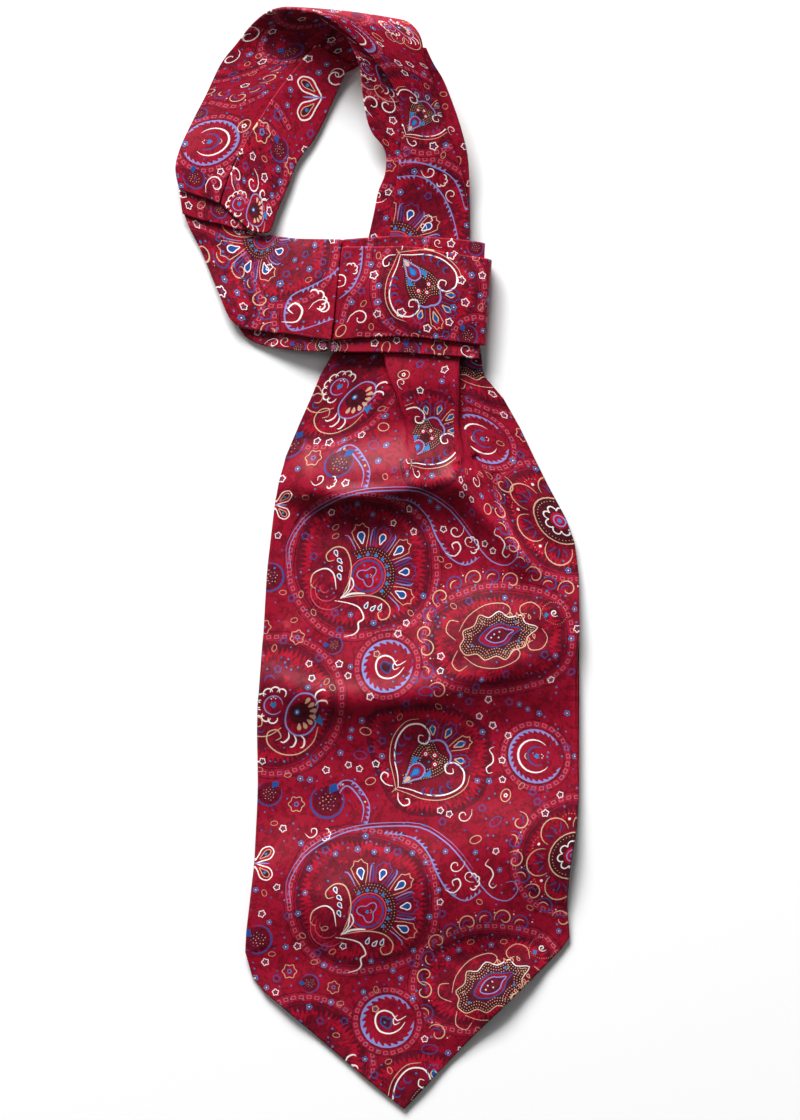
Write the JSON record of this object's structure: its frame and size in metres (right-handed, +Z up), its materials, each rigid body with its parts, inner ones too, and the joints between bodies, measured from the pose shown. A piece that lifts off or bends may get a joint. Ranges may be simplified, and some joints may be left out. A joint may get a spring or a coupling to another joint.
{
  "type": "silk cravat",
  "caption": "Silk cravat laid flat: a wide pointed blade with a pleated neck, under a folded neckband that loops above it and wraps once across it.",
  "frame": {"origin": "middle of the cravat's length and width, on the surface it lies on", "axes": "+Y up the length from the blade's point towards the neck loop, +X to the right seen from above, +Z up from the surface"},
  "size_m": [0.2022, 0.55, 0.0246],
  "materials": {
    "printed_silk": "soft satin sheen, fine diagonal twill, printed in crimson, burgundy, blue, lavender, cream and white"
  },
  "bodies": {
    "root": {"blade": "printed_silk", "knot_core": "printed_silk", "wrap_front": "printed_silk", "wrap_under": "printed_silk", "band_lower": "printed_silk", "band_lower_under": "printed_silk", "corner_tuck": "printed_silk", "band_left_outer": "printed_silk", "band_left_inner": "printed_silk", "band_roll": "printed_silk", "band_right_outer": "printed_silk", "band_right_inner": "printed_silk", "band_right_under": "printed_silk"}
  },
  "joints": []
}
